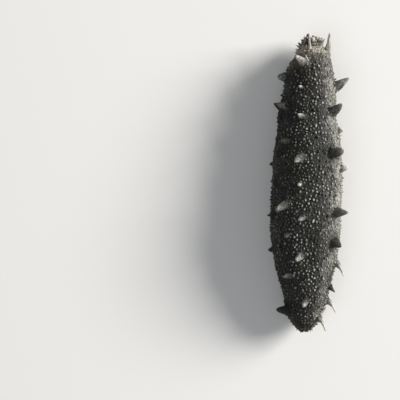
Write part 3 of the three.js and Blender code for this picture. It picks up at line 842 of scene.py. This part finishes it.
def row_of(d, share=1.0):
    """The row nearest to a distance from the rim and a share of the section."""
    gap = np.abs(row_d - d) + 3.0 * np.abs(row_share - share)
    return float(np.argmin(gap))


def ring(count, d, share, turn, spread, seed, forward, outward, length, radius, pale, warmth, low=0.0, high=360.0):
    r = np.random.RandomState(seed)
    a = np.radians(low + (high - low) * (np.arange(count) + 0.5 * turn) / count) + spread * r.normal(size=count)
    rows = row_of(d, share) + r.uniform(-1.2, 1.2, count)
    cols = column_of(a)
    where = on_net(rows, cols, skin)
    radial = np.stack([np.cos(a), np.zeros(count), np.sin(a)], -1)
    up = unit(radial * outward + np.array([0.0, 1.0, 0.0]) * forward + 0.16 * r.normal(size=(count, 3)))
    grow = np.clip(1 + 0.25 * r.normal(size=count), 0.5, 1.6)
    return dict(rows=rows, cols=cols, where=where, up=up, size=radius * np.clip(1 + 0.15 * r.normal(size=count), 0.7, 1.4),
                height=length * grow, pale=np.clip(pale + 0.32 * r.normal(size=count), 0.02, 1.0), warmth=np.full(count, warmth))


def joined(rings):
    return {key: np.concatenate([one[key] for one in rings]) for key in rings[0]}


THORN = bud(6, [(-0.22, 0.95), (0.04, 1.0), (0.30, 0.70), (0.62, 0.42), (0.88, 0.20)])
SPINE_BUD = bud(12, [(-0.10, 1.0), (0.0, 1.0), (0.05, 0.84), (0.12, 0.70), (0.22, 0.60), (0.40, 0.52), (0.60, 0.46), (0.78, 0.40), (0.91, 0.30), (0.98, 0.16)])
LOBE = bud(7, [(-0.25, 0.75), (0.10, 0.90), (0.45, 1.0), (0.78, 0.82), (0.95, 0.42)])
thorns = joined([
    ring(13, 0.30, 0.87, 0, 0.05, 501, 1.00, 0.55, 0.80, 0.27, 0.25, 0.55, 168, 335),
    ring(13, 0.95, 1.00, 1, 0.06, 502, 0.75, 0.80, 0.75, 0.27, 0.50, 0.60, 158, 345),
    ring(18, 1.70, 1.00, 0, 0.06, 503, 0.55, 1.00, 0.75, 0.25, 0.70, 0.60, 112, 380),
    ring(17, 2.40, 1.00, 1, 0.06, 509, 0.45, 1.00, 0.55, 0.22, 0.65, 0.50, 112, 380),
    ring(8, 1.30, 1.00, 1, 0.05, 510, 0.70, 0.95, 1.10, 0.25, 0.45, 0.60, 142, 215),
    ring(10, 2.10, 1.00, 0, 0.05, 515, 0.60, 1.00, 1.05, 0.26, 0.85, 0.60, 126, 215),
    ring(12, 2.95, 1.00, 1, 0.05, 504, 0.45, 1.00, 1.00, 0.26, 0.90, 0.60, 100, 220),
    ring(10, 3.80, 1.00, 0, 0.05, 505, 0.35, 1.00, 0.85, 0.24, 0.85, 0.50, 104, 225),
    ring(8, 4.60, 1.00, 1, 0.05, 506, 0.30, 1.00, 0.70, 0.22, 0.50, 0.40, 116, 222),
    ring(14, 77.1, float(cap_share(77.1)), 0, 0.06, 507, -1.0, 0.6, 0.55, 0.24, 0.30, 0.30),
    ring(9, 77.7, float(cap_share(77.7)), 1, 0.06, 508, -1.0, 0.15, 0.50, 0.22, 0.30, 0.30),
])
crowded = np.array([min(np.linalg.norm(p - q["foot"]) - q["root"] for q in papillae) < 0.40 for p in thorns["where"]])
thorns = {key: value[~crowded] for key, value in thorns.items()}


def singly(table, warmth):
    """Spikes that stand where a table says, one by one."""
    a, b = np.radians([one[4] for one in table]), np.radians([one[5] for one in table])
    return dict(
        rows=np.array([row_of(one[0]) for one in table]), cols=column_of(np.radians([one[1] for one in table])),
        where=np.array([foot_frame(one[0], math.radians(one[1]))[0] for one in table]),
        up=np.stack([np.cos(b) * np.cos(a), -np.sin(b), np.cos(b) * np.sin(a)], -1),
        size=np.array([one[3] for one in table]), height=np.array([one[2] + 0.2 for one in table]),
        pale=np.array([one[7][1] for one in table]), warmth=np.full(len(table), warmth))


spines = singly(SPINES, 0.2)
lobes = joined([
    singly(FEELERS, 0.3),
    ring(8, 0.05, 0.72, 0, 0.04, 512, 1.00, 0.05, 0.42, 0.30, 0.50, 0.45, 175, 325),
    ring(12, 0.70, 0.53, 1, 0.05, 513, 1.00, -0.25, 0.80, 0.30, 0.80, 0.60),
    ring(8, 1.80, 0.42, 0, 0.06, 514, 1.00, -0.30, 0.80, 0.24, 0.15, 1.00),
])
for name, shape, spikes, seed, tip_tone in (
        ("mouth_thorns", THORN, thorns, 521, (0.62, 1.0)), ("mouth_feelers", LOBE, lobes, 522, (0.6, 1.0)), ("spines", SPINE_BUD, spines, 523, (0.75, 1.0))):
    at = np.stack([0.03 + 0.94 * (np.argsort(np.argsort(spikes["rows"])) + 0.5) / len(spikes["rows"]),
                   0.03 + 0.94 * spikes["cols"] / COLUMNS], -1)
    pieces.append(scatter_mesh(name, shape, spikes["where"], spikes["up"], spikes["size"], spikes["height"],
                               spikes["pale"], spikes["warmth"], at, seed, patch=0.0025, jitter=0.08, tip_tone=tip_tone))

# Tube feet in three bands along the sole, each down to the floor.
FOOT = bud(8, [(-0.6, 0.72), (0.25, 0.70), (0.72, 0.86), (0.97, 0.80)])
r = np.random.RandomState(61)
placing = []
for band, offset, width, pitch in ((0, -0.50, 0.16, 0.62), (1, 0.0, 0.20, 0.55), (2, 0.50, 0.16, 0.62)):
    for k in range(int(66.0 / pitch)):
        d = 5.5 + pitch * k + 0.18 * r.normal()
        half = float(station(d, 1))
        for line in (-1, 0, 1):
            x = float(station(d, 4)) + SHIFT_X + half * (offset + 0.5 * width * line) + 0.10 * r.normal()
            if r.uniform() < 0.85:
                placing.append((d + 0.5 * pitch * (line % 2), x))
placing = np.array(placing)
sole_rows, sole_cols = [], []
under = np.concatenate([np.arange(COLUMNS - 40, COLUMNS), np.arange(0, 41)])
for d, x in placing:
    row = int(np.argmin(np.abs(row_d - d) + 9.0 * (row_share < 0.9)))
    line = skin[row, under % COLUMNS]
    k = int(np.argmin(np.abs(line[:, 0] - x) + 5.0 * (line[:, 2] > 0.9)))
    sole_rows.append(row)
    sole_cols.append(under[k] % COLUMNS)
sole_rows, sole_cols = np.array(sole_rows), np.array(sole_cols)
where = skin[sole_rows, sole_cols]
ok = (where[:, 2] < 0.9) & (rise[sole_rows, sole_cols] < 0.02)
sole_rows, sole_cols, where = sole_rows[ok], sole_cols[ok], where[ok]
gap = where[:, 2] - 0.0
n = len(where)
swing = np.where(sole_cols > COLUMNS / 2, sole_cols - COLUMNS, sole_cols)
at = np.stack([0.02 + 0.95 * sole_rows / ROWS, 0.5 + 0.95 * swing / 84.0], -1)
pieces.append(scatter_mesh("sole_feet", FOOT, where, np.tile([0.0, 0.0, -1.0], (n, 1)), 0.21 * np.clip(1 + 0.18 * r.normal(size=n), 0.6, 1.4),
                           np.maximum(gap, 0.12), np.full(n, 0.22) + 0.2 * r.uniform(0, 1, n), np.full(n, 0.45), at, 62, jitter=0.10))

body = skin_object()
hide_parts("oral_end", "fore_trunk", "mid_trunk", "hind_trunk", "anal_end")
pieces.append(body)

# ---------------------------------------------------------------------------
# Materials
# ---------------------------------------------------------------------------
class Tree:
    def __init__(self, name):
        self.material = bpy.data.materials.new(name)
        self.material.use_nodes = True
        self.tree = self.material.node_tree
        self.tree.nodes.clear()
        self.out = self.node("ShaderNodeOutputMaterial")

    def node(self, kind, **settings):
        n = self.tree.nodes.new(kind)
        for key, value in settings.items():
            setattr(n, key, value)
        return n

    def link(self, a, b):
        self.tree.links.new(a, b)

    def set(self, socket, value):
        if isinstance(value, bpy.types.NodeSocket):
            self.link(value, socket)
        else:
            socket.default_value = value

    def noise(self, vector, scale, detail=3.0, rough=0.55):
        n = self.node("ShaderNodeTexNoise")
        self.link(vector, n.inputs["Vector"])
        n.inputs["Scale"].default_value = scale
        n.inputs["Detail"].default_value = detail
        n.inputs["Roughness"].default_value = rough
        return n.outputs["Fac"]

    def math(self, operation, a, b=0.0, c=0.0, clamp=False):
        n = self.node("ShaderNodeMath", operation=operation, use_clamp=clamp)
        for i, value in enumerate((a, b, c)):
            if i < len(n.inputs):
                self.set(n.inputs[i], value)
        return n.outputs[0]

    def ramp(self, value, low, high, to_low=0.0, to_high=1.0):
        n = self.node("ShaderNodeMapRange", clamp=True, interpolation_type="SMOOTHSTEP")
        self.link(value, n.inputs["Value"])
        for key, v in (("From Min", low), ("From Max", high), ("To Min", to_low), ("To Max", to_high)):
            n.inputs[key].default_value = v
        return n.outputs["Result"]

    def mix(self, factor, a, b):
        n = self.node("ShaderNodeMix", data_type="RGBA")
        self.set(n.inputs[0], factor)
        self.set(n.inputs[6], a)
        self.set(n.inputs[7], b)
        return n.outputs[2]


DARK = (0.0080, 0.0080, 0.0064, 1)
MIDDLE = (0.0215, 0.0215, 0.0175, 1)
ASH = (0.31, 0.302, 0.268, 1)
CHALK = (0.58, 0.565, 0.510, 1)
BROWN = (0.085, 0.058, 0.038, 1)
TAN = (0.36, 0.30, 0.225, 1)


def hide(name, grain_strength):
    t = Tree(name)
    where = t.node("ShaderNodeTexCoord").outputs["Object"]
    # this attribute holds real dust and also the painted light and painted shade laid into the colour
    dust_and_shading_fac = t.node("ShaderNodeAttribute", attribute_name="dust_and_painted_shading").outputs["Fac"]
    warmth = t.node("ShaderNodeAttribute", attribute_name="warm").outputs["Fac"]
    broad_noise = t.noise(where, 150.0, 3.0)
    blotch = t.noise(where, 620.0, 3.0)
    fine = t.noise(where, 2600.0, 3.0, 0.6)
    finest = t.noise(where, 6500.0, 2.0, 0.6)
    mottle = t.math("ADD", t.math("MULTIPLY", broad_noise, 0.5), t.math("MULTIPLY", blotch, 0.5))
    ground = t.mix(t.ramp(mottle, 0.40, 0.62), DARK, MIDDLE)
    ground = t.mix(t.math("MULTIPLY", warmth, t.ramp(blotch, 0.35, 0.7, 0.35, 1.0)), ground, BROWN)
    uneven = t.math("MULTIPLY", t.math("SUBTRACT", fine, 0.5), t.math("MULTIPLY", dust_and_shading_fac, t.math("SUBTRACT", 1.12, dust_and_shading_fac)))
    cover = t.math("MULTIPLY_ADD", uneven, 3.4, dust_and_shading_fac, clamp=True)
    ash = t.mix(t.ramp(cover, 0.45, 1.0), ASH, CHALK)
    ash = t.mix(t.math("MULTIPLY", warmth, 0.85), ash, TAN)
    colour = t.mix(t.ramp(cover, 0.06, 0.95), ground, ash)
    shader = t.node("ShaderNodeBsdfPrincipled")
    t.link(colour, shader.inputs["Base Color"])
    rough = t.math("ADD", t.ramp(fine, 0.3, 0.7, 0.50, 0.70), t.math("MULTIPLY", cover, 0.16))
    t.link(rough, shader.inputs["Roughness"])
    shader.inputs["Specular IOR Level"].default_value = 0.33
    height = t.math("ADD", t.math("MULTIPLY", fine, 0.65), t.math("MULTIPLY", finest, 0.35))
    bump = t.node("ShaderNodeBump")
    bump.inputs["Strength"].default_value = grain_strength
    bump.inputs["Distance"].default_value = 0.00022
    t.link(height, bump.inputs["Height"])
    t.link(bump.outputs["Normal"], shader.inputs["Normal"])
    t.link(shader.outputs[0], t.out.inputs["Surface"])
    return t.material


skin_material = hide("dried_skin", 0.9)
coat_material = hide("dried_warts", 0.5)
for thing in pieces:
    thing.data.materials.append(skin_material if thing.name == "skin_whole" else coat_material)
    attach(thing, "root")

# ---------------------------------------------------------------------------
# Floor, light and camera
# ---------------------------------------------------------------------------
floor_mesh = bpy.data.meshes.new("floor")
span = 1.2
floor_mesh.from_pydata([(-span, -span, 0), (span, -span, 0), (span, span, 0), (-span, span, 0)], [], [(0, 1, 2, 3)])
floor = bpy.data.objects.new("floor", floor_mesh)
bpy.context.scene.collection.objects.link(floor)
f = Tree("pale_floor")
paper = f.node("ShaderNodeBsdfPrincipled")
paper.inputs["Base Color"].default_value = (0.80, 0.79, 0.77, 1)
paper.inputs["Roughness"].default_value = 0.85
paper.inputs["Specular IOR Level"].default_value = 0.2
f.link(paper.outputs[0], f.out.inputs["Surface"])
floor_mesh.materials.append(f.material)


def area_light(name, place, target, width, height, power, colour):
    data = bpy.data.lights.new(name, "AREA")
    data.shape = "RECTANGLE"
    data.size, data.size_y = width, height
    data.energy = power
    data.color = colour
    lamp = bpy.data.objects.new(name, data)
    bpy.context.scene.collection.objects.link(lamp)
    from mathutils import Vector
    lamp.location = place
    lamp.rotation_euler = (Vector(target) - Vector(place)).to_track_quat("-Z", "Y").to_euler()
    return lamp


area_light("key", (1.35, 0.50, 0.66), (0, 0, 0.008), 0.80, 0.60, 46.0, (1.0, 0.985, 0.955))
area_light("fill", (-0.50, -0.45, 1.10), (0, 0, 0.008), 0.80, 0.80, 3.0, (0.96, 0.98, 1.0))

world = bpy.data.worlds.new("studio")
bpy.context.scene.world = world
world.use_nodes = True
world.node_tree.nodes["Background"].inputs["Color"].default_value = (0.92, 0.95, 1.0, 1)
world.node_tree.nodes["Background"].inputs["Strength"].default_value = 0.26

# The camera looks straight down from over the middle of the frame, so the
# animal lies off to the right of it.
PIXEL = 0.263                  # mm at the height of the body's widest line
STAND_OFF = 280.0              # mm above that line
WIDEST_HEIGHT = 7.5
camera_data = bpy.data.cameras.new("camera")
camera = bpy.data.objects.new("camera", camera_data)
bpy.context.scene.collection.objects.link(camera)
camera_data.sensor_width = 36.0
camera_data.lens = 36.0 * STAND_OFF / (400 * PIXEL)
camera_data.clip_start = 0.01
camera.location = (((200 - 308) * PIXEL + SHIFT_X) * MM, (HEAD_Y - (200 - 37) * PIXEL) * MM, (WIDEST_HEIGHT + STAND_OFF) * MM)
camera.rotation_euler = (0, 0, 0)
bpy.context.scene.camera = camera

view = bpy.context.scene.view_settings
view.view_transform = "Standard"
view.look = "None"
